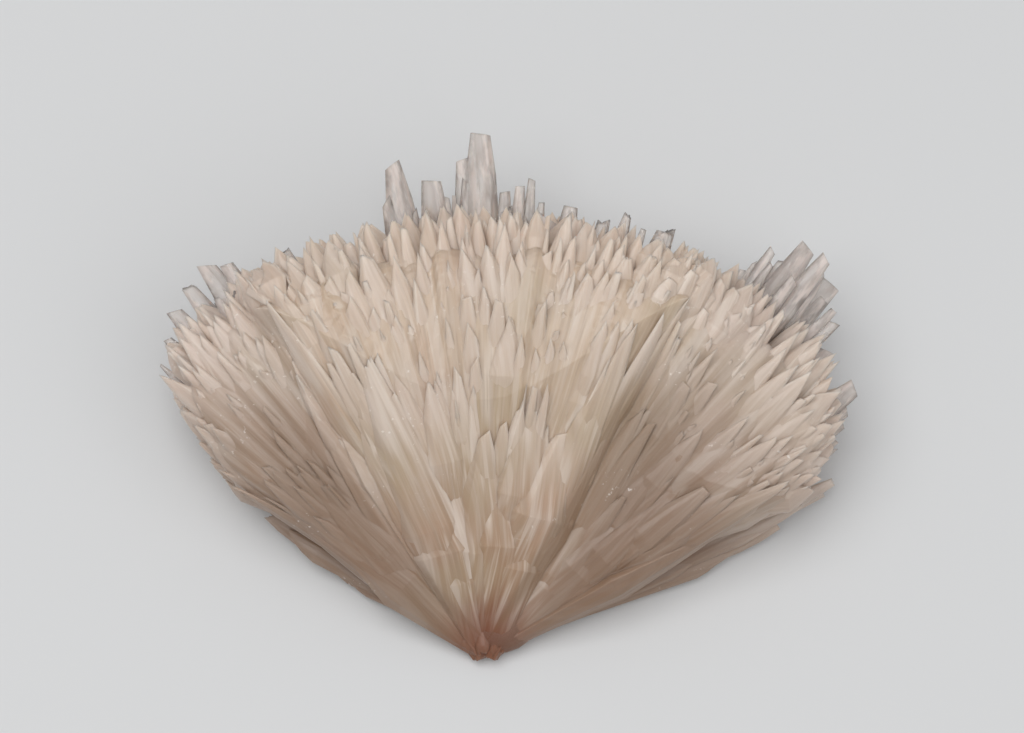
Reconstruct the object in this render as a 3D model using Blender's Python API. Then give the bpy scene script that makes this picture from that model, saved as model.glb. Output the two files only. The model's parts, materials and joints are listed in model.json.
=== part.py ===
"""Strontianite specimen: one loose spray of spear-shaped crystals that fan out of a small broken root.

It lies on its back, as such a spray does once it is off its rock: root towards -Y, tips towards +Y, front up.
All the crystals grew together, so they are one solid.
"""

import math
import random

import bmesh
import bpy
from mathutils import Matrix, Vector

MM = 0.001

# The growth frame has its origin in the middle of the root, X to the right across the fan, Y along the fan's
# centre line and Z out of its front. The specimen rests with that frame tipped up by its bundles' back slope.
BACK_TILT = math.radians(21.0)
ROOT_HEIGHT = 1.7 * MM      # the root's middle above the surface that the specimen lies on
ROOT_FORWARD = 23.90 * MM   # the root's middle from the middle of the specimen, towards -Y
ROOT_ASIDE = 2.13 * MM      # and towards -X
ROOT_HALF_WIDTH = 3.0 * MM
ROOT_HALF_DEPTH = 2.2 * MM
ROOT_CORE_MIDDLE = Vector((0.7, 1.6, -0.1)) * MM
ROOT_CORE_HALF_SIZES = Vector((4.2, 3.0, 1.8)) * MM
ROOT_STUBS = 6

CRYSTAL_SIDES = 6           # strontianite's prisms are nearly hexagonal
LOWER_END = 0.3             # a crystal's width at its lower end, as a share of its widest
BLADE_THICKNESS = 0.4       # a blade's thickness, as a share of its width
CROWN_THICKNESS = 0.75      # the same of the stout crystals that end on top of a bundle
CROWN_WIDTH = 1.3           # their width, as a share of a blade's
SUNK = 1.6 * MM             # how deep a short blade's lower end is in the bundle
ROW_SIDE = 0.95             # how far to a bundle's sides its short blades go, as a share of its spread
FIRST_ROW = 0.9             # how far along the bundle the first row's tips are
BLADE_REACH = 0.65          # how far along the bundle a short blade reaches
SHORT_WIDTH = 0.8           # its width, as a share of that of the blades from the root
GOLDEN_ANGLE = math.radians(137.508)
SEED = 7

# A bundle of crystals that are wholly grown together: the middle of it across the fan and out of the fan's
# plane, in degrees, how far it spreads from there across the fan, to the front and to the back, its length in
# millimetres, how much shorter it is at the fan's outer edge, the blades from the root on each face and their
# widths, and the rows of short blades on the front and on the back, each with how many are side by side.
BUNDLES = {
    "middle": {
        "fan": -1.5, "lean": 4.0, "across": 32.0, "to_front": 12.0, "to_back": 32.0, "length": 43.0,
        "outer_shortening": 0.0, "skin": 14, "skin_widths": (5.5, 8.5), "rows": ((4, 6), (4, 6)),
    },
    "left": {
        "fan": -42.0, "lean": 0.0, "across": 14.0, "to_front": 11.0, "to_back": 22.0, "length": 43.0,
        "outer_shortening": 0.38, "skin": 8, "skin_widths": (3.5, 6.0), "rows": ((3, 3), (3, 3)),
    },
    "right": {
        "fan": 44.0, "lean": 1.0, "across": 20.0, "to_front": 11.0, "to_back": 20.0, "length": 43.5,
        "outer_shortening": 0.26, "skin": 9, "skin_widths": (3.5, 6.0), "rows": ((3, 3), (3, 3)),
    },
}
# The lower part of the whole fan, where the three bundles are one.
LOWER_FAN = {
    "fan": 1.0, "lean": -1.0, "across": 52.0, "to_front": 11.0, "to_back": 20.0, "length": 28.0,
    "outer_shortening": 0.2,
}
FRONT_SHORTENING = 0.42     # how much shorter a bundle's front crystals are than its middle ones
BACK_SHORTENING = 0.10      # and its back ones
BODY_SIDES = 16
BODY_RINGS = 8
BODY_SPREAD = 0.95          # a bundle's gapless body, as a share of the bundle's spread
BODY_REACH = 0.90           # and as a share of its crystals' length

# The crystals that make the outline: the tip's place in the growth frame, the width of the widest part and of
# the tip, all in millimetres.
OUTLINE_CRYSTALS = (
    # the top of the middle bundle, left to right
    (-15.2, 39.2, -4.0, 2.4, 1.4), (-11.6, 40.9, -3.0, 1.6, 0.6), (-9.6, 47.7, -4.5, 3.6, 1.7),
    (-5.6, 46.0, -2.0, 3.4, 2.2), (-4.0, 44.3, -1.0, 1.4, 0.5), (-2.6, 48.3, -6.5, 2.2, 1.3),
    (-0.7, 50.9, -6.0, 4.0, 2.3), (1.8, 45.0, -5.0, 2.0, 1.2), (3.3, 45.5, -3.0, 1.8, 1.0),
    (4.5, 46.2, -3.5, 1.6, 0.8), (5.9, 42.3, -1.0, 3.2, 2.4), (8.4, 43.4, -2.0, 3.0, 1.6),
    (11.8, 42.1, -5.0, 2.0, 1.4), (14.2, 42.7, -3.5, 2.6, 0.9), (15.8, 41.2, -4.0, 1.5, 0.7),
    (17.9, 41.0, -2.5, 3.4, 2.0), (19.3, 37.9, -4.0, 1.6, 0.8), (21.1, 37.7, -1.5, 2.0, 0.5),
    (22.8, 35.9, 0.5, 2.0, 0.6),
    # the right bundle, top to bottom
    (25.9, 37.1, -5.0, 1.8, 0.8), (28.8, 39.1, -4.0, 2.0, 0.9), (32.3, 39.3, -3.0, 3.0, 1.9),
    (34.0, 38.2, -1.0, 2.6, 1.4), (34.8, 35.7, -6.0, 2.8, 2.3), (34.9, 33.0, -3.0, 2.0, 0.8),
    (34.2, 29.0, -7.0, 3.0, 2.2), (34.6, 27.4, -4.0, 1.2, 0.5), (36.9, 25.2, -2.0, 3.0, 1.9),
    (36.3, 22.8, -4.0, 2.0, 1.0), (35.0, 20.0, -3.0, 2.2, 1.1), (33.5, 17.8, -6.0, 2.4, 1.6),
    (35.0, 15.7, -5.0, 1.8, 0.9), (31.5, 13.9, -3.0, 2.6, 1.6), (29.0, 11.6, -4.0, 2.8, 1.8),
    (24.2, 8.9, -3.0, 2.4, 1.4), (18.0, 6.6, -3.5, 2.2, 1.2),
    # the left bundle, top to bottom
    (-17.2, 37.8, -2.0, 1.6, 0.6), (-20.2, 39.0, -1.0, 2.6, 0.8), (-21.5, 36.8, -3.0, 2.0, 0.9),
    (-24.4, 35.6, -5.0, 2.4, 1.2), (-26.2, 37.6, -2.0, 2.6, 1.5), (-28.3, 37.5, -3.5, 3.0, 1.9),
    (-30.2, 35.4, -4.0, 2.6, 1.5), (-31.4, 32.9, -2.0, 2.8, 1.6), (-32.3, 30.1, -4.5, 2.4, 0.9),
    (-32.9, 27.5, -3.0, 1.8, 0.3), (-31.0, 24.4, -5.0, 3.0, 1.7), (-28.6, 20.5, -3.5, 2.8, 1.6),
    (-25.6, 16.8, -4.0, 2.6, 1.5), (-21.8, 12.4, -3.5, 2.4, 1.4), (-15.5, 7.6, -3.0, 2.2, 1.2),
)


def direction(fan, lean):
    """The way a crystal grows, in the growth frame, from its angles in degrees."""
    fan = math.radians(fan)
    lean = math.radians(lean)
    return Vector((math.sin(fan) * math.cos(lean), math.cos(fan) * math.cos(lean), math.sin(lean)))


def start_of(way):
    """Crystals start side by side over the small root, not from one point."""
    return Vector((way.x * ROOT_HALF_WIDTH, 0.0, way.z * ROOT_HALF_DEPTH))


def on_rest(way):
    """A back crystal's way, turned up as far as the plane that the specimen rests on."""
    return Vector((way.x, way.y, max(way.z, -math.tan(BACK_TILT) * way.y))).normalized()


def spear(start, tip, width, tip_width, facing, thickness=0.6, shoulder=0.8, slant=0.0):
    """A prism that widens up to its shoulder and narrows to a slanting tip, with its broad side to facing."""
    length = (tip - start).length
    bm = bmesh.new()
    bmesh.ops.create_cone(
        bm, cap_ends=True, segments=CRYSTAL_SIDES,
        radius1=0.5 * LOWER_END * width, radius2=0.5 * width, depth=shoulder * length,
    )
    top = max(bm.faces, key=lambda face: face.calc_center_median().z)
    narrowed = bmesh.ops.extrude_discrete_faces(bm, faces=[top])["faces"][0]
    for vert in narrowed.verts:
        vert.co.x *= tip_width / width
        vert.co.y *= 0.7 * tip_width / width
        vert.co.z += (1.0 - shoulder) * length + slant * vert.co.x
    along = (tip - start).normalized()
    across = facing.cross(along).normalized()
    outward = along.cross(across)
    turn = Matrix((across, outward, along)).transposed().to_4x4()
    on_start = Matrix.Translation((0.0, 0.0, 0.5 * shoulder * length))
    bm.transform(Matrix.Translation(start) @ turn @ Matrix.Diagonal((1.0, thickness, 1.0, 1.0)) @ on_start)
    return bm


def add_object(name, bm, collection, material):
    mesh = bpy.data.meshes.new(name)
    bm.to_mesh(mesh)
    bm.free()
    mesh.materials.append(material)
    obj = bpy.data.objects.new(name, mesh)
    collection.objects.link(obj)
    return obj


def strontianite():
    material = bpy.data.materials.new("strontianite")
    material.use_nodes = True
    shader = material.node_tree.nodes["Principled BSDF"]
    shader.inputs["Base Color"].default_value = (0.72, 0.61, 0.52, 1.0)
    shader.inputs["Roughness"].default_value = 0.32
    shader.inputs["Metallic"].default_value = 0.0
    return material


def way_in(bundle, out, around):
    """The way of a crystal that is a share out from the bundle's middle, around from its right side."""
    to_side = bundle["to_front"] if math.sin(around) > 0.0 else bundle["to_back"]
    side = out * math.cos(around)
    fan = bundle["fan"] + bundle["across"] * side
    lean = bundle["lean"] + to_side * out * math.sin(around) * math.sqrt(1.0 + side * side)
    return on_rest(direction(fan, lean))


def reach_in(bundle, out, around):
    """How long the crystals are there: a bundle's front is stepped back, and so is the fan's outer edge."""
    forward = out * math.sin(around)
    outward = out * math.cos(around) * math.copysign(1.0, bundle["fan"])
    share = 1.0 - FRONT_SHORTENING * max(forward, 0.0) ** 2 - BACK_SHORTENING * min(forward, 0.0) ** 2
    share -= bundle["outer_shortening"] * max(outward, 0.0) ** 2
    return bundle["length"] * MM * share


def bundle_body(bundle):
    """The gapless part of a bundle: a ball drawn out into a bud that ends short of the tips."""
    bm = bmesh.new()
    bmesh.ops.create_uvsphere(bm, u_segments=BODY_SIDES, v_segments=BODY_RINGS, radius=1.0)
    for vert in bm.verts:
        down = math.acos(max(-1.0, min(1.0, vert.co.z))) / math.pi
        around = math.atan2(vert.co.y, vert.co.x)
        out = BODY_SPREAD * min(2.0 * down, 1.0)
        from_root = min(2.0 * (1.0 - down), 1.0)
        way = way_in(bundle, out, around)
        vert.co = start_of(way) + way * BODY_REACH * reach_in(bundle, out, around) * from_root
    bmesh.ops.reverse_faces(bm, faces=bm.faces)   # the mapping mirrors the ball
    return bm


def on_surface(bundle, side, along, face):
    """A place on a bundle's front or back face: along is 0 at the root, 1 on the face's rim, 2 at the top."""
    rim = math.sqrt(max(1.0 - side * side, 0.0))
    forward = face * rim * min(2.0 - along, 1.0)
    out = math.hypot(side, forward)
    around = math.atan2(forward, side)
    way = way_in(bundle, out, around)
    return start_of(way) + way * min(along, 1.0) * reach_in(bundle, out, around)


def shingle(bundle, side, along, face, begin, width, rise, shoulder, point, slant):
    """A blade along a bundle's surface, its lower end sunk in, its tip narrowed to point times its width."""
    tip = on_surface(bundle, side, along, face)
    crown = max(0.0, min((along - 1.3) / 0.4, 1.0))
    width *= 1.0 + (CROWN_WIDTH - 1.0) * crown
    start = on_surface(bundle, side, begin, face).lerp(0.6 * tip, crown)
    across = on_surface(bundle, side + 0.05, along, face) - on_surface(bundle, side - 0.05, along, face)
    outward = face * across.cross(tip - start).normalized()
    sunk = 0.0 if begin < 0.0 else SUNK
    return spear(
        start - outward * sunk, tip + outward * rise, width, width * point, outward,
        thickness=BLADE_THICKNESS + (CROWN_THICKNESS - BLADE_THICKNESS) * crown,
        shoulder=shoulder, slant=slant,
    )


def skin_blades(bundle, rng):
    """The outermost blades, which run in one piece from the root."""
    for face in (1, -1):
        for i in range(bundle["skin"]):
            side = 1.98 * (i + rng.uniform(0.2, 0.8)) / bundle["skin"] - 0.99
            yield shingle(
                bundle, side, rng.uniform(0.5, 0.98), face, rng.uniform(-0.05, -0.02),
                rng.uniform(*bundle["skin_widths"]) * MM, rng.uniform(-0.5, 0.0) * MM,
                rng.uniform(0.5, 0.75), rng.uniform(0.1, 0.3), rng.uniform(-1.2, 1.2),
            )


def row_blades(bundle, rng):
    """Shorter blades that end one row above the next on each face, up to the bundle's top."""
    for face, (rows, side_by_side) in zip((1, -1), bundle["rows"]):
        for i in range(rows * side_by_side):
            side = ROW_SIDE * (2.0 * (i % side_by_side + rng.uniform(0.1, 0.9)) / side_by_side - 1.0)
            along = FIRST_ROW + (2.0 - FIRST_ROW) * (i // side_by_side + rng.uniform(0.1, 0.9)) / rows
            yield shingle(
                bundle, side, along, face, along - BLADE_REACH,
                SHORT_WIDTH * rng.uniform(*bundle["skin_widths"]) * MM, rng.uniform(0.0, 0.3) * MM,
                rng.uniform(0.5, 0.85), rng.uniform(0.2, 0.7), rng.uniform(-1.2, 1.2),
            )


def outline_crystals(rng):
    for x, y, z, width, tip_width in OUTLINE_CRYSTALS:
        tip = Vector((x, y, z)) * MM
        way = tip.normalized()
        facing = Vector((rng.uniform(-0.3, 0.3), 0.0, 1.0))
        yield spear(
            start_of(way) + way * 0.2 * tip.length, tip, width * MM, tip_width * MM, facing,
            slant=rng.uniform(-0.5, 0.5),
        )


def root_core():
    """The solid middle of the root, hidden between the crystals' lower ends."""
    bm = bmesh.new()
    bmesh.ops.create_uvsphere(bm, u_segments=10, v_segments=6, radius=1.0)
    bm.transform(Matrix.Translation(ROOT_CORE_MIDDLE) @ Matrix.Diagonal((*ROOT_CORE_HALF_SIZES, 1.0)))
    return bm


def root_stubs(rng):
    """The broken lower ends of the crystals, which make the root ragged."""
    for i in range(ROOT_STUBS):
        out = math.sqrt((i + 0.5) / ROOT_STUBS)
        side = out * math.cos(i * GOLDEN_ANGLE) * ROOT_HALF_WIDTH
        depth = 0.7 * out * math.sin(i * GOLDEN_ANGLE) * ROOT_HALF_DEPTH
        top = Vector((1.1 * side, 4.0 * MM, 1.1 * depth))
        end = Vector((0.7 * side, (0.8 * out - rng.uniform(1.8, 2.2)) * MM, 0.7 * depth))
        facing = Vector((rng.uniform(-0.5, 0.5), 0.0, 1.0))
        yield spear(top, end, 2.2 * MM, 1.5 * MM, facing, thickness=0.8, shoulder=0.8)


def rest_cutter():
    """What the surface that it lies on has rubbed off the lowest crystals: all that is below the rest."""
    bm = bmesh.new()
    bmesh.ops.create_cube(bm, size=0.2)
    bm.transform(Matrix.Translation((0.0, 0.0, -0.1)))
    return bm


def main():
    for obj in list(bpy.data.objects):
        bpy.data.objects.remove(obj)
    rng = random.Random(SEED)
    material = strontianite()
    specimen = bpy.data.collections.new("strontianite_specimen")
    grown = bpy.data.collections.new("crystals_before_joining")
    cutters = bpy.data.collections.new("cutters")
    for collection in (specimen, grown, cutters):
        bpy.context.scene.collection.children.link(collection)

    groups = {f"{name}_skin": skin_blades(bundle, rng) for name, bundle in BUNDLES.items()}
    groups.update({f"{name}_rows": row_blades(bundle, rng) for name, bundle in BUNDLES.items()})
    groups["outline"] = outline_crystals(rng)
    groups["root"] = root_stubs(rng)
    for name, crystals in groups.items():
        for i, crystal in enumerate(crystals):
            add_object(f"{name}_crystal_{i}", crystal, grown, material)
    for name in ("left", "right"):
        add_object(f"{name}_bundle", bundle_body(BUNDLES[name]), grown, material)
    add_object("lower_fan", bundle_body(LOWER_FAN), grown, material)
    add_object("root_core", root_core(), grown, material)
    below_rest = add_object("below_rest", rest_cutter(), cutters, material)

    body = add_object("crystal_spray", bundle_body(BUNDLES["middle"]), specimen, material)
    join = body.modifiers.new("join_crystals", "BOOLEAN")
    join.operation = "UNION"
    join.operand_type = "COLLECTION"
    join.collection = grown
    join.solver = "MANIFOLD"
    trim = body.modifiers.new("rub_flat_where_it_rests", "BOOLEAN")
    trim.operation = "DIFFERENCE"
    trim.object = below_rest
    trim.solver = "MANIFOLD"

    on_floor = Matrix.Translation((-ROOT_ASIDE, -ROOT_FORWARD, ROOT_HEIGHT))
    resting = on_floor @ Matrix.Rotation(BACK_TILT, 4, "X")
    body.matrix_world = resting
    for obj in grown.objects:
        obj.matrix_world = resting
    for obj in (*grown.objects, *cutters.objects):
        obj.hide_render = True
        obj.display_type = "WIRE"


main()
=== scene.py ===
"""A loose spray of strontianite on its back: milky blades with clear tips, grown out of one small root."""

import json
import math
import random

import bmesh
import bpy
from mathutils import Matrix, Vector, noise

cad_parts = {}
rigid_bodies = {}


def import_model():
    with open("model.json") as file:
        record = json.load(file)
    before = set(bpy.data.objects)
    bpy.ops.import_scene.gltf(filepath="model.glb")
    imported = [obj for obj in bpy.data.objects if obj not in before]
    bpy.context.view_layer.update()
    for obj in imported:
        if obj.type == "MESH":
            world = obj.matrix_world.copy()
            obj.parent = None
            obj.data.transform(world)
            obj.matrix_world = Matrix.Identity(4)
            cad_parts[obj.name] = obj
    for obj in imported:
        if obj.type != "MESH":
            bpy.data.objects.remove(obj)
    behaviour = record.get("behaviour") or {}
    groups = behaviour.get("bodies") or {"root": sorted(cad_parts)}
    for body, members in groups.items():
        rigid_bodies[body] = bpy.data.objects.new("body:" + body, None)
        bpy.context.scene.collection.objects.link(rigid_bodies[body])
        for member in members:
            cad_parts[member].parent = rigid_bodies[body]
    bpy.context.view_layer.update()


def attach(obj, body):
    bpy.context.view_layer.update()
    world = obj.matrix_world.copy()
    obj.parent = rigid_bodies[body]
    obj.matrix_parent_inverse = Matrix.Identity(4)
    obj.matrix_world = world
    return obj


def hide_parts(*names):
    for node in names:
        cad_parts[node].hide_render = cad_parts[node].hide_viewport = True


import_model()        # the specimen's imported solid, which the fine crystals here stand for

MM = 0.001
placing = random.Random(7)      # where the broad blades are, as in the solid
rng = random.Random(11)         # and everything finer


# How the spray grew. Its crystals shot up side by side from a spot on the rock a few millimetres across, in
# three bundles that spread like a fan. Broken off there, it can't stand on its root, so it lies on its back.
BACK_TILT = math.radians(21.0)      # the growth plane is tipped up by the slope of the bundles' backs
ROOT_ASIDE = 2.13 * MM
ROOT_FORWARD = 23.90 * MM
ROOT_HEIGHT = 1.7 * MM
ROOT_HALF_WIDTH = 3.0 * MM
ROOT_HALF_DEPTH = 2.2 * MM
lying = Matrix.Translation((-ROOT_ASIDE, -ROOT_FORWARD, ROOT_HEIGHT)) @ Matrix.Rotation(BACK_TILT, 4, "X")
growing = bpy.data.collections.new("growing_crystals")
bpy.context.scene.collection.children.link(growing)


def direction(fan, lean):
    """The way of a crystal across the fan and out of its front, both in degrees."""
    fan = math.radians(fan)
    lean = math.radians(lean)
    return Vector((math.sin(fan) * math.cos(lean), math.cos(fan) * math.cos(lean), math.sin(lean)))


def start_of(way):
    """Crystals start side by side over the small root, not from one point."""
    return Vector((way.x * ROOT_HALF_WIDTH, 0.0, way.z * ROOT_HALF_DEPTH))


def on_rest(way):
    """A back crystal's way, turned up as far as the surface that the specimen lies on."""
    return Vector((way.x, way.y, max(way.z, -math.tan(BACK_TILT) * way.y))).normalized()


def grow(name, bm):
    """Adds a crystal to those that are still to grow together."""
    mesh = bpy.data.meshes.new(name)
    bm.to_mesh(mesh)
    bm.free()
    growing.objects.link(bpy.data.objects.new(name, mesh))


# The hearts of the three bundles. Low down, the crystals have grown together without a gap into solid milky
# mineral; the middle bundle stands proud at the front and the other two lie behind its edges.
BUNDLES = {         # ways and spreads are in degrees, lengths and widths in millimetres
    "middle": {
        "fan": -1.5, "lean": 4.0, "across": 32.0, "to_front": 12.0, "to_back": 32.0, "length": 43.0,
        "outer_shortening": 0.0, "broad_blades": 14, "broad_widths": (5.5, 8.5),
        "stout_rows": ((4, 6), (4, 6)), "fine_blades_a_row": 13, "slim_crystals": 20,
    },
    "left": {
        "fan": -42.0, "lean": 0.0, "across": 14.0, "to_front": 11.0, "to_back": 22.0, "length": 43.0,
        "outer_shortening": 0.38, "broad_blades": 8, "broad_widths": (3.5, 6.0),
        "stout_rows": ((3, 3), (3, 3)), "fine_blades_a_row": 7, "slim_crystals": 12,
    },
    "right": {
        "fan": 44.0, "lean": 1.0, "across": 20.0, "to_front": 11.0, "to_back": 20.0, "length": 43.5,
        "outer_shortening": 0.26, "broad_blades": 9, "broad_widths": (3.5, 6.0),
        "stout_rows": ((3, 3), (3, 3)), "fine_blades_a_row": 9, "slim_crystals": 14,
    },
}
LOWER_FAN = {       # what fills the gaps between the three low down
    "fan": 1.0, "lean": -1.0, "across": 52.0, "to_front": 11.0, "to_back": 20.0, "length": 28.0,
    "outer_shortening": 0.2,
}
FRONT_SHORTENING = 0.42
BACK_SHORTENING = 0.10
HEART_SPREAD = 0.97
HEART_REACH_FRONT = 0.96
HEART_REACH_BACK = 0.89
PLEAT_FAN = math.radians(2.6)       # the hearts' faces are pleated by the crystals that have merged in them
PLEAT_LEAN = math.radians(14.0)
PLEAT_DEPTH = 0.05
PLEAT_REACH = 0.4                   # how much of a pleat's depth also lengthens the heart there
FACES_AROUND = 144
FACES_DOWN = 48
FRONT_FROM = 0.4                    # how far out a heart has all of its front's reach
NO_TIP = 99.0 * MM                  # a heart has no tip of its own, and all of it counts as far from one
STREAK_RADIUS = 30.0                # its streaks fan out, and are as wide as a crystal's this far up, in mm
STREAK_CENTRE = 0.1                 # they meet this far below the root, in mm


def way_in(bundle, out, around):
    """The way of a crystal that is a share out from the bundle's middle, around from its right side."""
    to_side = bundle["to_front"] if math.sin(around) > 0.0 else bundle["to_back"]
    side = out * math.cos(around)
    fan = bundle["fan"] + bundle["across"] * side
    lean = bundle["lean"] + to_side * out * math.sin(around) * math.sqrt(1.0 + side * side)
    return on_rest(direction(fan, lean))


def reach_in(bundle, out, around):
    """How long the crystals are there: a bundle's front is stepped back, and so is the fan's outer edge."""
    forward = out * math.sin(around)
    outward = out * math.cos(around) * math.copysign(1.0, bundle["fan"])
    share = 1.0 - FRONT_SHORTENING * max(forward, 0.0) ** 2 - BACK_SHORTENING * min(forward, 0.0) ** 2
    share -= bundle["outer_shortening"] * max(outward, 0.0) ** 2
    return bundle["length"] * MM * share


def label(bm, length=0.0, glassy=0.0, broken_faces=()):
    """Notes on each face what its finish depends on: its place along the crystal, and how glassy it is."""
    lengthwise = bm.loops.layers.uv.new("lengthwise")
    crystal = bm.faces.layers.float.new("crystal")
    full_length = bm.faces.layers.float.new("full_length")
    glass = bm.faces.layers.float.new("glassy")
    broken = bm.faces.layers.float.new("broken")
    kind = rng.random()
    for face in bm.faces:
        face[crystal] = kind
        face[full_length] = length / MM
        face[glass] = glassy
        face[broken] = float(face in broken_faces)
        for loop in face.loops:
            place = loop.vert.co / MM
            loop[lengthwise].uv = (place.x + place.y, place.z)


for name, bundle in (*BUNDLES.items(), ("lower_fan", LOWER_FAN)):
    bm = bmesh.new()
    bmesh.ops.create_uvsphere(bm, u_segments=FACES_AROUND, v_segments=FACES_DOWN, radius=1.0)
    for vert in bm.verts:
        down = math.acos(max(-1.0, min(1.0, vert.co.z))) / math.pi
        around = math.atan2(vert.co.y, vert.co.x)
        out = HEART_SPREAD * min(2.0 * down, 1.0)
        from_root = min(2.0 * (1.0 - down), 1.0)
        way = way_in(bundle, out, around)
        # the name's length gives each heart pleats of its own
        pleat = noise.noise(Vector((math.atan2(way.x, way.y) / PLEAT_FAN, way.z / PLEAT_LEAN, len(name))))
        way = way_in(bundle, out * (1.0 + PLEAT_DEPTH * pleat * from_root), around)
        to_front = max(0.0, min(out * math.sin(around) / FRONT_FROM, 1.0))
        reach = HEART_REACH_BACK + (HEART_REACH_FRONT - HEART_REACH_BACK) * to_front
        reach = (reach + PLEAT_REACH * PLEAT_DEPTH * pleat) * reach_in(bundle, out, around)
        vert.co = start_of(way) + way * reach * from_root
    bmesh.ops.reverse_faces(bm, faces=bm.faces)     # the mapping mirrors the ball
    label(bm, NO_TIP)
    lengthwise = bm.loops.layers.uv["lengthwise"]
    for face in bm.faces:
        for loop in face.loops:
            place = loop.vert.co / MM
            streak = STREAK_RADIUS * math.atan2(place.x, place.y + STREAK_CENTRE)
            loop[lengthwise].uv = (streak, place.length)
    grow(f"{name}_heart", bm)


# The milky blades, half sunk in the hearts. The outermost run in one piece from the root and make each
# bundle's smooth lower cone; others lie on its surface like shingles, their tips one above the next up to the
# top, and those of the end wall stand out of it side by side.
CRYSTAL_SIDES = 6
RIBS_A_SIDE = 3
RIB_DEPTH = 0.06
START_RADIUS = 0.15             # of a crystal's lower end, as a share of its full width
TAPER_BULGE = 0.1
TIP_FLATTENING = 0.85
BREAK_DEPTHS = (-0.35, 0.1)     # how a broken end's facets lie, as shares of its width


def spear(
    start, tip, width, tip_width, facing, thickness=0.6, shoulder=0.8, slant=0.0, glassy=0.0, broken=False,
):
    """A ribbed prism, broad side to facing, that widens up to a shoulder and narrows to a slanting tip."""
    length = (tip - start).length
    bm = bmesh.new()
    bmesh.ops.create_cone(
        bm, cap_ends=True, segments=CRYSTAL_SIDES * RIBS_A_SIDE,
        radius1=START_RADIUS * width, radius2=0.5 * width, depth=shoulder * length,
    )
    ribs = [rng.uniform(-RIB_DEPTH, RIB_DEPTH) for _ in range(CRYSTAL_SIDES * RIBS_A_SIDE)]
    side_angle = 2.0 * math.pi / CRYSTAL_SIDES
    for vert in bm.verts:
        angle = math.atan2(vert.co.y, vert.co.x)
        flat_side = math.cos(0.5 * side_angle) / math.cos(angle % side_angle - 0.5 * side_angle)
        rib = ribs[round(angle / side_angle * RIBS_A_SIDE) % len(ribs)]
        vert.co.x *= flat_side * (1.0 + rib)
        vert.co.y *= flat_side * (1.0 + rib)
    end = max(bm.faces, key=lambda face: face.calc_center_median().z)
    half_way = 0.5 + 0.5 * tip_width / width + TAPER_BULGE
    for narrowing in (half_way, tip_width / width / half_way):
        end = bmesh.ops.extrude_discrete_faces(bm, faces=[end])["faces"][0]
        for vert in end.verts:
            vert.co.x *= narrowing
            vert.co.y *= TIP_FLATTENING * narrowing
            vert.co.z += 0.5 * ((1.0 - shoulder) * length + slant * vert.co.x)
    end_faces = [end]
    if broken:
        end_faces = bmesh.ops.poke(bm, faces=[end])["faces"]
        for vert in dict.fromkeys(vert for face in end_faces for vert in face.verts):
            vert.co.z += rng.uniform(*BREAK_DEPTHS) * tip_width
    on_start = Matrix.Translation((0.0, 0.0, 0.5 * shoulder * length))
    bm.transform(Matrix.Diagonal((1.0, thickness, 1.0, 1.0)) @ on_start)
    label(bm, length, glassy, end_faces if broken else ())
    along = (tip - start).normalized()
    across = facing.cross(along).normalized()
    turn = Matrix((across, along.cross(across), along)).transposed().to_4x4()
    bm.transform(Matrix.Translation(start) @ turn)
    return bm


def on_surface(bundle, side, along, face):
    """A place on a bundle's front or back: along is 0 at the root, 1 on the face's rim, 2 at the top."""
    rim = math.sqrt(max(1.0 - side * side, 0.0))
    forward = face * rim * min(2.0 - along, 1.0)
    out = math.hypot(side, forward)
    around = math.atan2(forward, side)
    way = way_in(bundle, out, around)
    return start_of(way) + way * min(along, 1.0) * reach_in(bundle, out, around)


NEARBY = 0.05                   # a step aside that shows which way the surface faces
SUNK = 1.6 * MM
BLADE_THICKNESS = 0.5
CROWN_RAMP = 0.4                # over this much, blades turn from lying on the bundle to standing out of it
CROWN_START = 0.6
CROWN_THICKNESS = 0.75
CROWN_WIDTH = 1.3
CROWN_SHOULDER = 0.88
SIDE_CRYSTALS = 3               # what looks like one stout crystal is a few that have grown side by side
MEMBER_WIDTHS = 1.4             # of all of them together, because they overlap
MEMBER_THICKNESS = 1.3
MEMBER_POINT = 0.65
MEMBER_SET_BACK = 0.12
STARTS_APART = 0.4
TIPS_APART = 0.9
SHOULDER_SHARES = (0.8, 1.0)    # neighbours' shoulders are at uneven heights
BROKEN_TIPS = 0.25


def shingle(
    bundle, side, along, face, begin, width, rise, shoulder, point, slant,
    side_crystals=1, crown_from=1.3, sunk=SUNK,
):
    """A blade along a bundle's surface, its lower end sunk in, its tip narrowed to point times its width."""
    tip = on_surface(bundle, side, along, face)
    crown = max(0.0, min((along - crown_from) / CROWN_RAMP, 1.0))
    start = on_surface(bundle, side, begin, face).lerp(CROWN_START * tip, crown)
    across = on_surface(bundle, side + NEARBY, along, face)
    across -= on_surface(bundle, side - NEARBY, along, face)
    outward = face * across.cross(tip - start).normalized()
    sunk = 0.0 if begin < 0.0 else sunk
    thickness = BLADE_THICKNESS + (CROWN_THICKNESS - BLADE_THICKNESS) * crown
    shoulder += (CROWN_SHOULDER - shoulder) * crown
    member_width = width
    tip_width = width * point
    if side_crystals > 1:
        width *= 1.0 + (CROWN_WIDTH - 1.0) * crown
        thickness *= MEMBER_THICKNESS
        member_width = width * (MEMBER_WIDTHS / side_crystals)
        tip_width = member_width * point * MEMBER_POINT
    for i in range(side_crystals):
        aside = ((i + 0.5) / side_crystals - 0.5) * width * across.normalized()
        set_back = rng.uniform(0.0, MEMBER_SET_BACK) * (tip - start) if side_crystals > 1 else Vector()
        yield spear(
            start - outward * sunk + STARTS_APART * aside,
            tip + outward * rise + TIPS_APART * aside - set_back, member_width, tip_width, outward,
            thickness=thickness, shoulder=shoulder * rng.uniform(*SHOULDER_SHARES), slant=slant,
            broken=rng.random() < BROKEN_TIPS,
        )


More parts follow.
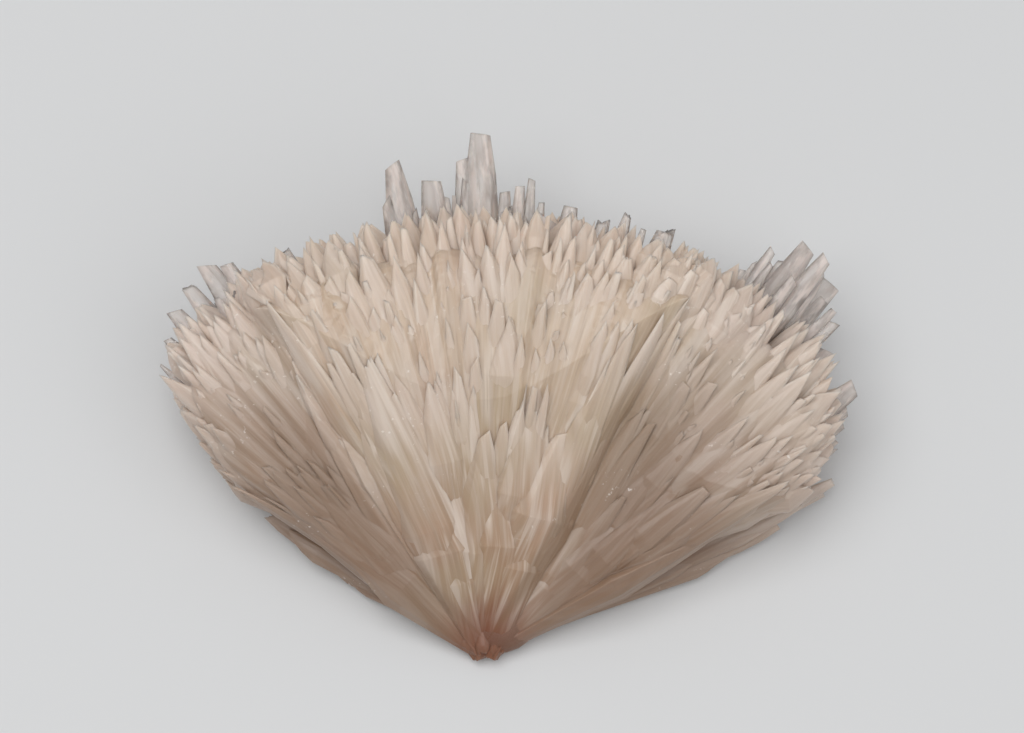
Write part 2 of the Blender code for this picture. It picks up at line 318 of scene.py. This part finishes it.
def grow_all(name, blades):
    """Adds the crystals of a blade, one or a few side by side, to those that are still to grow together."""
    for i, blade in enumerate(blades):
        grow(f"{name}_{i}", blade)


FRONT = 1
BACK = -1
BROAD_SIDE = 0.99               # how far out towards a bundle's sides each kind of blade is found
STOUT_SIDE = 0.95
FINE_SIDE = 0.98
SLIM_SIDE = 0.96
for name, bundle in BUNDLES.items():
    broad_blades = bundle["broad_blades"]
    for face in (FRONT, BACK):
        for i in range(broad_blades):
            side = 2.0 * BROAD_SIDE * (i + placing.uniform(0.2, 0.8)) / broad_blades - BROAD_SIDE
            grow_all(f"{name}_{face}_skin_{i}", shingle(
                bundle, side, placing.uniform(0.5, 0.98), face,
                begin=placing.uniform(-0.05, -0.02),
                width=placing.uniform(*bundle["broad_widths"]) * MM,
                rise=placing.uniform(-0.5, 0.0) * MM,
                shoulder=placing.uniform(0.5, 0.75),
                point=placing.uniform(0.1, 0.3),
                slant=placing.uniform(-1.2, 1.2),
            ))
FIRST_ROW = 0.9                 # where the stout crystals' tips begin
STOUT_REACH = 0.65
STOUT_WIDTH = 0.8
for name, bundle in BUNDLES.items():
    for face, (rows, side_by_side) in zip((FRONT, BACK), bundle["stout_rows"]):
        for i in range(rows * side_by_side):
            side = STOUT_SIDE * (2.0 * (i % side_by_side + placing.uniform(0.1, 0.9)) / side_by_side - 1.0)
            along = FIRST_ROW + (2.0 - FIRST_ROW) * (i // side_by_side + placing.uniform(0.1, 0.9)) / rows
            grow_all(f"{name}_{face}_row_{i}", shingle(
                bundle, side, along, face,
                begin=along - STOUT_REACH,
                width=STOUT_WIDTH * placing.uniform(*bundle["broad_widths"]) * MM,
                rise=placing.uniform(0.0, 0.3) * MM,
                shoulder=placing.uniform(0.5, 0.85),
                point=placing.uniform(0.2, 0.7),
                slant=placing.uniform(-1.2, 1.2),
                side_crystals=SIDE_CRYSTALS,
            ))
FINE_FACES = (                  # each face's rows of fine blades, where its crown begins, its shortest blade
    (FRONT, 11, 1.9, 0.55),
    (BACK, 12, 0.9, 0.45),
)
FINE_FROM = 0.7                 # where the fine blades' tips begin, and over how much of the way they spread
FINE_SPAN = 1.28
FINE_LONGER = 0.4               # how much longer than the shortest a fine blade may be
FINE_LOWEST = 0.1
for name, bundle in BUNDLES.items():
    for face, rows, crown_from, shortest in FINE_FACES:
        side_by_side = bundle["fine_blades_a_row"]
        for i in range(rows * side_by_side):
            row, place_in_row = divmod(i, side_by_side)
            side = 2.0 * FINE_SIDE * (place_in_row + rng.uniform(0.1, 0.9)) / side_by_side - FINE_SIDE
            along = FINE_FROM + FINE_SPAN * (row + rng.uniform(0.0, 1.0)) / rows
            begin = max(along - rng.uniform(shortest, shortest + FINE_LONGER), FINE_LOWEST)
            grow_all(f"{name}_{face}_blade_{i}", shingle(
                bundle, side, along, face, begin,
                width=rng.uniform(1.8, 4.8) * MM,
                rise=rng.uniform(-0.6, 0.4) * MM,
                shoulder=rng.uniform(0.4, 0.75),
                point=rng.uniform(0.05, 0.3),
                slant=rng.uniform(-1.5, 1.5),
                crown_from=crown_from,
                sunk=rng.uniform(0.8, 1.2) * MM,
            ))
        for i in range(bundle["slim_crystals"]):
            along = rng.uniform(0.85, 2.0)
            grow_all(f"{name}_{face}_slim_{i}", shingle(
                bundle, rng.uniform(-SLIM_SIDE, SLIM_SIDE), along, face,
                begin=along - rng.uniform(0.5, 0.6),
                width=rng.uniform(0.8, 1.6) * MM,
                rise=rng.uniform(0.2, 1.0) * MM,
                shoulder=rng.uniform(0.4, 0.8),
                point=rng.uniform(0.1, 0.5),
                slant=rng.uniform(-1.0, 1.0),
            ))


# The crystals of the outline, the longest in the spray. They stand clear of the rest, so each has a place of
# its own here; most are glassy at the end, where the mineral grew slowly and clean.
OUTLINE_CRYSTALS = (
    # the top of the middle bundle, left to right: the tip's place, the widest part and the tip's width, in mm
    (-15.2, 39.2, -4.0, 2.4, 1.4), (-11.6, 40.9, -3.0, 1.6, 0.6), (-9.6, 47.7, -4.5, 3.6, 1.7),
    (-5.6, 46.0, -2.0, 3.4, 2.2), (-4.0, 44.3, -1.0, 1.4, 0.5), (-2.6, 48.3, -6.5, 2.2, 1.3),
    (-0.7, 50.9, -6.0, 4.0, 2.3), (1.8, 45.0, -5.0, 2.0, 1.2), (3.3, 45.5, -3.0, 1.8, 1.0),
    (4.5, 46.2, -3.5, 1.6, 0.8), (5.9, 42.3, -1.0, 3.2, 2.4), (8.4, 43.4, -2.0, 3.0, 1.6),
    (11.8, 42.1, -5.0, 2.0, 1.4), (14.2, 42.7, -3.5, 2.6, 0.9), (15.8, 41.2, -4.0, 1.5, 0.7),
    (17.9, 41.0, -2.5, 3.4, 2.0), (19.3, 37.9, -4.0, 1.6, 0.8), (21.1, 37.7, -1.5, 2.0, 0.5),
    (22.8, 35.9, 0.5, 2.0, 0.6),
    # the right bundle, top to bottom
    (25.9, 37.1, -5.0, 1.8, 0.8), (28.8, 39.1, -4.0, 2.0, 0.9), (32.3, 39.3, -3.0, 3.0, 1.9),
    (34.0, 38.2, -1.0, 2.6, 1.4), (34.8, 35.7, -6.0, 2.8, 2.3), (34.9, 33.0, -3.0, 2.0, 0.8),
    (34.2, 29.0, -7.0, 3.0, 2.2), (34.6, 27.4, -4.0, 1.2, 0.5), (36.9, 25.2, -2.0, 3.0, 1.9),
    (36.3, 22.8, -4.0, 2.0, 1.0), (35.0, 20.0, -3.0, 2.2, 1.1), (33.5, 17.8, -6.0, 2.4, 1.6),
    (35.0, 15.7, -5.0, 1.8, 0.9), (31.5, 13.9, -3.0, 2.6, 1.6), (29.0, 11.6, -4.0, 2.8, 1.8),
    (24.2, 8.9, -3.0, 2.4, 1.4), (18.0, 6.6, -3.5, 2.2, 1.2),
    # the left bundle, top to bottom
    (-17.2, 37.8, -2.0, 1.6, 0.6), (-20.2, 39.0, -1.0, 2.6, 0.8), (-21.5, 36.8, -3.0, 2.0, 0.9),
    (-24.4, 35.6, -5.0, 2.4, 1.2), (-26.2, 37.6, -2.0, 2.6, 1.5), (-28.3, 37.5, -3.5, 3.0, 1.9),
    (-30.2, 35.4, -4.0, 2.6, 1.5), (-31.4, 32.9, -2.0, 2.8, 1.6), (-32.3, 30.1, -4.5, 2.4, 0.9),
    (-32.9, 27.5, -3.0, 1.8, 0.3), (-31.0, 24.4, -5.0, 3.0, 1.7), (-28.6, 20.5, -3.5, 2.8, 1.6),
    (-25.6, 16.8, -4.0, 2.6, 1.5), (-21.8, 12.4, -3.5, 2.4, 1.4), (-15.5, 7.6, -3.0, 2.2, 1.2),
)
GLASSY_FROM = 12.0          # tips lower in the fan than this many mm are milky to the end,
GLASSY_RISE = 14.0          # and those this much higher up are glassy
OUTLINE_START = 0.2         # where each begins, as a share of the way to the tip
COMPANION_START = 0.3
COMPANION_SHORTER = (1.5, 5.0)      # a shorter one stands at each side of it, in mm
COMPANION_ASIDE = (0.8, 1.6)
COMPANION_FORWARD = (-1.5, 2.0)
OUTLINE_BROKEN = 0.4        # how many of them have broken ends
for i, (x, y, z, width, tip_width) in enumerate(OUTLINE_CRYSTALS):
    tip = Vector((x, y, z)) * MM
    way = tip.normalized()
    glassy = max(0.0, min((y - GLASSY_FROM) / GLASSY_RISE, 1.0))
    crystal = spear(
        start_of(way) + way * OUTLINE_START * tip.length, tip, width * MM, tip_width * MM,
        facing=Vector((placing.uniform(-0.3, 0.3), 0.0, 1.0)),
        slant=placing.uniform(-0.5, 0.5),
        glassy=glassy,
        broken=rng.random() < OUTLINE_BROKEN,
    )
    grow(f"outline_crystal_{i}", crystal)
    for beside in (-1.0, 1.0):
        shorter = tip - way * rng.uniform(*COMPANION_SHORTER) * MM
        aside = beside * rng.uniform(*COMPANION_ASIDE)
        shorter += Vector((aside, 0.0, rng.uniform(*COMPANION_FORWARD))) * MM
        companion = spear(
            start_of(way) + way * COMPANION_START * tip.length, shorter,
            width=rng.uniform(1.4, 2.6) * MM,
            tip_width=rng.uniform(0.3, 1.2) * MM,
            facing=Vector((rng.uniform(-0.5, 0.5), 0.0, 1.0)),
            shoulder=rng.uniform(0.6, 0.85),
            slant=rng.uniform(-0.8, 0.8),
            glassy=glassy,
            broken=rng.random() < OUTLINE_BROKEN,
        )
        grow(f"outline_companion_{beside}_{i}", companion)


# The root, where the specimen was broken off its rock. The crystals' lower ends make a small blunt wedge
# there, ragged and stained pinkish brown.
ROOT_STUBS = 10
GOLDEN_ANGLE = math.radians(137.508)    # from one stub to the next, so that they fill the root evenly
ROOT_FLATNESS = 0.7
STUB_TOP = 3.5 * MM
TOPS_APART = 1.1            # the stubs come together towards their broken ends
ENDS_APART = 0.7
END_DEPTHS = (1.8, 2.2)     # how far below the root's middle they end, in mm
OUTER_ENDS_HIGHER = 0.8     # in mm
core_place = Matrix.Translation((0.7 * MM, 1.6 * MM, -0.1 * MM))
core_size = Matrix.Diagonal((4.2 * MM, 3.0 * MM, 1.8 * MM, 1.0))
bm = bmesh.new()
bmesh.ops.create_uvsphere(bm, u_segments=20, v_segments=12, radius=1.0)
label(bm)
bm.transform(core_place @ core_size)
grow("root_core", bm)
for i in range(ROOT_STUBS):
    around = i * GOLDEN_ANGLE
    out = math.sqrt((i + 0.5) / ROOT_STUBS)
    side = out * math.cos(around) * ROOT_HALF_WIDTH
    depth = ROOT_FLATNESS * out * math.sin(around) * ROOT_HALF_DEPTH
    top = Vector((TOPS_APART * side, STUB_TOP, TOPS_APART * depth))
    end_height = (out * OUTER_ENDS_HIGHER - rng.uniform(*END_DEPTHS)) * MM
    stub = spear(
        top, Vector((ENDS_APART * side, end_height, ENDS_APART * depth)),
        width=1.7 * MM,
        tip_width=1.1 * MM,
        facing=Vector((rng.uniform(-0.5, 0.5), 0.0, 1.0)),
        thickness=0.8,
        slant=rng.uniform(-0.6, 0.6),
        broken=True,
    )
    grow(f"root_stub_{i}", stub)


# The crystals grown together. Where they touch, no wall is left between them, so light that enters the milky
# mineral wanders through the whole spray and comes out somewhere else.
def grow_together(name, crystals):
    """One closed mesh of all the crystals in a collection."""
    body = crystals.objects[0]
    crystals.objects.unlink(body)
    bpy.context.scene.collection.objects.link(body)
    union = body.modifiers.new("grow_together", "BOOLEAN")
    union.operation = "UNION"
    union.operand_type = "COLLECTION"
    union.collection = crystals
    union.solver = "MANIFOLD"
    depsgraph = bpy.context.evaluated_depsgraph_get()
    mesh = bpy.data.meshes.new_from_object(body.evaluated_get(depsgraph), depsgraph=depsgraph)
    mesh.name = name
    for crystal in [body, *crystals.objects]:
        bpy.data.objects.remove(crystal)
    bpy.data.collections.remove(crystals)
    spray = bpy.data.objects.new(name, mesh)
    bpy.context.scene.collection.objects.link(spray)
    return spray


spray = grow_together("crystal_spray_fine", growing)
spray.data.transform(lying)

# What lies below the resting surface is rubbed flat, as on the lowest crystals of the real piece.
for vert in spray.data.vertices:
    vert.co.z = max(vert.co.z, 0.0)
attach(spray, "root")
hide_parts("crystal_spray")


# Strontianite. Milky cream mineral that light enters and wanders in, browner towards the root, silky with
# fine ridges along each crystal; in the outline's tips the milk thins out in veils and the mineral is clear.
# Its colour
# also holds painted light: painted shade in the low clefts, on the low sides and in the grooves, a painted
# glow in the high clefts, and painted highlights on edges and in small glints.
class Reading:
    """A number, colour or vector in the mineral's shader, which is reckoned with like a number."""

    tree = None

    def __init__(self, socket):
        self.socket = socket

    @classmethod
    def node(cls, kind, settings, inputs, output=0):
        """A step of the shader: its kind, its settings, then a value or another reading for each input."""
        made = cls.tree.nodes.new(kind)
        for setting, value in settings.items():
            setattr(made, setting, value)
        for key, value in inputs.items():
            if isinstance(value, Reading):
                cls.tree.links.new(value.socket, made.inputs[key])
            else:
                made.inputs[key].default_value = value
        return cls(made.outputs[output])

    def reckon(self, operation, first, second):
        """A sum, a product or the like of two numbers."""
        return self.node("ShaderNodeMath", {"operation": operation}, {0: first, 1: second})

    def __add__(self, other):
        return self.reckon("ADD", self, other)

    def __radd__(self, other):
        return self.reckon("ADD", other, self)

    def __sub__(self, other):
        return self.reckon("SUBTRACT", self, other)

    def __rsub__(self, other):
        return self.reckon("SUBTRACT", other, self)

    def __mul__(self, other):
        return self.reckon("MULTIPLY", self, other)

    def __rmul__(self, other):
        return self.reckon("MULTIPLY", other, self)

    def between(self, low, high):
        """0 below low, 1 above high and a smooth step between them."""
        return self.node(
            "ShaderNodeMapRange", {"interpolation_type": "SMOOTHSTEP"},
            {"Value": self, "From Min": low, "From Max": high},
        )

    def blend(self, below, above):
        """The colour below where this is 0, above where it is 1."""
        return self.node("ShaderNodeMix", {"data_type": "RGBA"}, {0: self, 6: below, 7: above}, 2)


def srgb(red, green, blue):
    """A colour by its screen values, as the shader wants it."""
    return tuple(((v / 255.0 + 0.055) / 1.055) ** 2.4 for v in (red, green, blue)) + (1.0,)


ROOT_BROWN = srgb(122, 70, 42)
ROOT_STAIN = srgb(124, 66, 32)
LOWER_TAN = srgb(166, 134, 106)
CREAM = srgb(200, 178, 154)
UPPER_CREAM = srgb(206, 184, 161)
ROSY_SIDES = srgb(184, 160, 142)
OUTER_CREAM = srgb(208, 190, 178)
ROSY_BLOTCH = srgb(188, 150, 126)
OLIVE_BLOTCH = srgb(176, 162, 130)
GREY_CLOUD = srgb(196, 186, 178)
GREYER_CRYSTAL = srgb(196, 182, 174)
CLEFT_SHADE = srgb(160, 116, 84)
LIT_CLEFT = srgb(226, 202, 178)
PALE_STREAK = srgb(226, 214, 202)
PALE_THREAD = srgb(226, 213, 200)
DARK_THREAD = srgb(168, 144, 120)
PALE_RIDGE = srgb(222, 208, 196)
PALE_TIP = srgb(222, 206, 194)
EDGE_HIGHLIGHT = srgb(232, 220, 208)
LOW_SIDE_SHADE = srgb(126, 96, 72)
RIGHT_GROOVE_SHADE = srgb(142, 116, 92)
LEFT_GROOVE_SHADE = srgb(146, 122, 102)
GLINT = srgb(246, 240, 234)
CLEAR_WHITE = srgb(226, 216, 212)
CLEAR = srgb(252, 250, 246)
GRAIN_SHIFT = 83.0          # from one crystal to the next, so that no two have the same grain
PER_METRE = 1000.0          # lengths below are in millimetres

strontianite = bpy.data.materials.new("strontianite")
strontianite.use_nodes = True
tree = strontianite.node_tree
tree.nodes.clear()
Reading.tree = tree

# Where a point is in the spray, and on its crystal.
place = Reading.node("ShaderNodeTexCoord", {}, {}, "Object")
from_middle = Reading.node(
    "ShaderNodeVectorMath", {"operation": "SUBTRACT"}, {0: place, 1: lying.translation}
)
distance = Reading.node("ShaderNodeVectorMath", {"operation": "LENGTH"}, {0: from_middle}, "Value")
from_root = PER_METRE * distance
fan_axis = lying.to_3x3() @ Vector((0.0, 1.0, 0.0))
height = Reading.node(
    "ShaderNodeVectorMath", {"operation": "DOT_PRODUCT"}, {0: from_middle, 1: fan_axis}, "Value"
)
up_fan = PER_METRE * height
aside = PER_METRE * Reading.node("ShaderNodeSeparateXYZ", {}, {0: from_middle}, "X")
fan = aside.reckon("ARCTAN2", aside, up_fan)       # in radians, 0 straight up the fan
lengthwise = Reading.node("ShaderNodeUVMap", {"uv_map": "lengthwise"}, {})
across = Reading.node("ShaderNodeSeparateXYZ", {}, {0: lengthwise}, "X")
along = Reading.node("ShaderNodeSeparateXYZ", {}, {0: lengthwise}, "Y")
crystal = Reading.node("ShaderNodeAttribute", {"attribute_name": "crystal"}, {}, "Fac")
full_length = Reading.node("ShaderNodeAttribute", {"attribute_name": "full_length"}, {}, "Fac")
glassy = Reading.node("ShaderNodeAttribute", {"attribute_name": "glassy"}, {}, "Fac")
broken = Reading.node("ShaderNodeAttribute", {"attribute_name": "broken"}, {}, "Fac")
to_tip = full_length - along
pointed = Reading.node("ShaderNodeNewGeometry", {}, {}, "Pointiness")
cleft = 1.0 - pointed.between(0.44, 0.52)
edge = pointed.between(0.53, 0.62)


def grain(across_scale, along_scale, shift, detail=3.0):
    """Noise that is drawn out along each crystal, and differs from one crystal to the next."""
    where = Reading.node(
        "ShaderNodeCombineXYZ", {},
        {0: across * across_scale, 1: along * along_scale, 2: crystal * GRAIN_SHIFT + shift},
    )
    return Reading.node("ShaderNodeTexNoise", {}, {"Vector": where, "Scale": 1.0, "Detail": detail}, 0)


def mottle(scale, detail):
    """Noise that is even all round, through the whole spray."""
    return Reading.node("ShaderNodeTexNoise", {}, {"Vector": place, "Scale": scale, "Detail": detail}, 0)


fine_ridges = grain(across_scale=3.2, along_scale=0.10, shift=3.0)
broad_ridges = grain(across_scale=1.0, along_scale=0.05, shift=11.0)
veils = grain(across_scale=0.9, along_scale=0.22, shift=29.0, detail=4.0)
streaks = grain(across_scale=0.55, along_scale=0.07, shift=47.0, detail=1.0)
threads = grain(across_scale=1.5, along_scale=0.09, shift=71.0, detail=2.0)
clouds = mottle(scale=160.0, detail=3.0)
blotches = mottle(scale=90.0, detail=1.0)
glint_noise = mottle(scale=1900.0, detail=4.0)

# Cream from the root's brown up, duller at both sides of the fan, with blotches and clouds, painted shade in
# the low clefts and a painted glow in the high ones.
body = from_root.between(0.0, 9.0).blend(ROOT_BROWN, LOWER_TAN)
body = from_root.between(6.0, 30.0).blend(body, CREAM)
body = from_root.between(28.0, 42.0).blend(body, UPPER_CREAM)
at_the_sides = (0.86 * from_root - up_fan).between(0.0, 3.0)
body = (at_the_sides * 0.75).blend(body, ROSY_SIDES)
outer_ends = at_the_sides * from_root.between(32.0, 42.0)
body = (outer_ends * 0.8).blend(body, OUTER_CREAM)
body = (blotches.between(0.5, 0.68) * 0.35).blend(body, ROSY_BLOTCH)
body = ((1.0 - blotches.between(0.34, 0.48)) * 0.3).blend(body, OLIVE_BLOTCH)
body = (clouds.between(0.5, 0.7) * 0.25).blend(body, GREY_CLOUD)
# painted shade: low in the spray the clefts are darkened browner where shade falls; higher up they are
# lightened, a painted glow of light coming through the mineral
high = from_root.between(16.0, 30.0)
body = (cleft * (1.0 - high) * 0.3).blend(body, CLEFT_SHADE)
body = (cleft * high * 0.5).blend(body, LIT_CLEFT)

# Along each crystal: streaks, threads and silky ridges, a paler tip and painted highlights on the edges.
body = (streaks.between(0.54, 0.68) * 0.5).blend(body, PALE_STREAK)
body = (threads.between(0.52, 0.64) * 0.4).blend(body, PALE_THREAD)
body = ((1.0 - threads.between(0.36, 0.46)) * 0.4).blend(body, DARK_THREAD)
body = (fine_ridges.between(0.4, 0.7) * 0.25).blend(body, PALE_RIDGE)
body = (crystal * 0.15).blend(body, GREYER_CRYSTAL)
pale_tips = (1.0 - to_tip.between(0.0, 12.0)) * from_root.between(12.0, 26.0)
body = (pale_tips * 0.5).blend(body, PALE_TIP)
# painted highlight: the sharp outer edges are lightened as if catching the light
body = (edge * 0.5 * from_root.between(8.0, 20.0)).blend(body, EDGE_HIGHLIGHT)

# Painted shade on the low sides of the fan and in the grooves between the bundles, small painted glints, and
# the stained root.
# painted shade: the low sides of the fan, near the root, are darkened
low_side_shade = (0.84 * from_root - up_fan).between(0.0, 3.0) * (1.0 - from_root.between(20.0, 42.0))
body = (low_side_shade * 0.7).blend(body, LOW_SIDE_SHADE)
# painted shade: the grooves between the middle bundle and the two side ones are darkened
right_groove_shade = fan.between(0.46, 0.55) * (1.0 - fan.between(0.62, 0.8))
right_groove_shade = right_groove_shade * (1.0 - from_root.between(26.0, 38.0))
body = (right_groove_shade * 0.7).blend(body, RIGHT_GROOVE_SHADE)
left_groove_shade = (1.0 - fan.between(-0.78, -0.66)) * fan.between(-1.0, -0.84)
left_groove_shade = left_groove_shade * (1.0 - from_root.between(26.0, 40.0))
body = (left_groove_shade * 0.5).blend(body, LEFT_GROOVE_SHADE)
# painted highlights: small bright glints scattered in the clouded middle of the spray
glints = glint_noise.between(0.64, 0.7) * clouds.between(0.54, 0.64) * from_root.between(8.0, 16.0)
body = (glints * 0.5).blend(body, GLINT)
clear_end = glassy * (1.0 - to_tip.between(5.0, 14.0))
body = (clear_end * 0.7).blend(body, CLEAR_WHITE)
body = ((1.0 - from_root.between(0.0, 7.0)) * 0.85).blend(body, ROOT_STAIN)

# The silky relief of the ridges, and edges that are a little rounded.
relief = fine_ridges * 0.5 + broad_ridges
rounded = Reading.node("ShaderNodeBevel", {"samples": 4}, {"Radius": 0.25 * MM})
bump = Reading.node(
    "ShaderNodeBump", {}, {"Strength": 0.8, "Distance": 0.12 * MM, "Height": relief, "Normal": rounded}
)
milky = Reading.node(
    "ShaderNodeBsdfPrincipled", {"subsurface_method": "RANDOM_WALK"},
    {
        "Base Color": body, "Roughness": 0.3 + 0.16 * fine_ridges - 0.15 * broken, "IOR": 1.6,
        "Subsurface Weight": 0.7, "Subsurface Radius": (1.0, 0.95, 0.9), "Subsurface Scale": 0.7 * MM,
        "Normal": bump,
    },
)
clear = Reading.node(
    "ShaderNodeBsdfPrincipled", {},
    {"Base Color": CLEAR, "Roughness": 0.1, "IOR": 1.45, "Transmission Weight": 1.0, "Normal": bump},
)
clearness = clear_end * (1.0 - veils.between(0.45, 0.65) * 0.7) * (0.7 - 0.6 * broken)
surface = Reading.node("ShaderNodeMixShader", {}, {0: clearness, 1: milky, 2: clear})
output = tree.nodes.new("ShaderNodeOutputMaterial")
tree.links.new(surface.socket, output.inputs["Surface"])
spray.data.materials.clear()
spray.data.materials.append(strontianite)


# The table top that the specimen lies on for its picture: a wide sheet of plain pale grey paper, laid flat
# and dull enough to show no reflection.
FLOOR_SIDE = 3.0
PAPER_GREY = srgb(220, 221, 222)
bpy.ops.mesh.primitive_plane_add(size=FLOOR_SIDE)
floor = bpy.context.object
floor.name = "floor"
paper = bpy.data.materials.new("pale_paper")
paper.use_nodes = True
paper.node_tree.nodes["Principled BSDF"].inputs["Base Color"].default_value = PAPER_GREY
paper.node_tree.nodes["Principled BSDF"].inputs["Roughness"].default_value = 0.8
floor.data.materials.append(paper)


# Soft studio light. A large box of white cloth hangs above the tips and a weaker one by the root, and the
# pale walls of the room fill the shadows evenly.
SOFTBOXES = (               # each one's place and side in metres, and its power in watts
    ("key_box", (-0.15, -0.02, 0.6), 0.5, 2.0),
    ("fill_box", (0.35, -0.25, 0.5), 0.6, 1.0),
)
LIT_PLACE = Vector((0.0, 0.0, 0.01))
ROOM_LIGHT = 0.36
for name, light_place, side, power in SOFTBOXES:
    cloth = bpy.data.lights.new(name, "AREA")
    cloth.shape = "SQUARE"
    cloth.size = side
    cloth.energy = power
    softbox = bpy.data.objects.new(name, cloth)
    softbox.location = light_place
    softbox.rotation_mode = "QUATERNION"
    softbox.rotation_quaternion = (LIT_PLACE - Vector(light_place)).to_track_quat("-Z", "Y")
    bpy.context.scene.collection.objects.link(softbox)
room = bpy.data.worlds.new("pale_room")
room.use_nodes = True
room.node_tree.nodes["Background"].inputs["Color"].default_value = (1.0, 1.0, 1.0, 1.0)
room.node_tree.nodes["Background"].inputs["Strength"].default_value = ROOM_LIGHT
bpy.context.scene.world = room


# The camera stands where the photograph's did, square to the fan's front, and far enough away that near tips
# look no larger than far ones.
CAMERA_DISTANCE = 450.0 * MM
SENSOR_WIDTH = 36.0
PICTURE_WIDTH = 102.4 * MM
PICTURE_MIDDLE = Vector((2.5, 27.35, 0.0)) * MM
lens = bpy.data.cameras.new("camera")
lens.sensor_width = SENSOR_WIDTH
lens.lens = SENSOR_WIDTH * CAMERA_DISTANCE / PICTURE_WIDTH
lens.clip_start = 0.01
camera = bpy.data.objects.new("camera", lens)
camera.matrix_world = lying @ Matrix.Translation(PICTURE_MIDDLE + Vector((0.0, 0.0, CAMERA_DISTANCE)))
bpy.context.scene.collection.objects.link(camera)
bpy.context.scene.camera = camera
bpy.context.scene.view_settings.view_transform = "Standard"
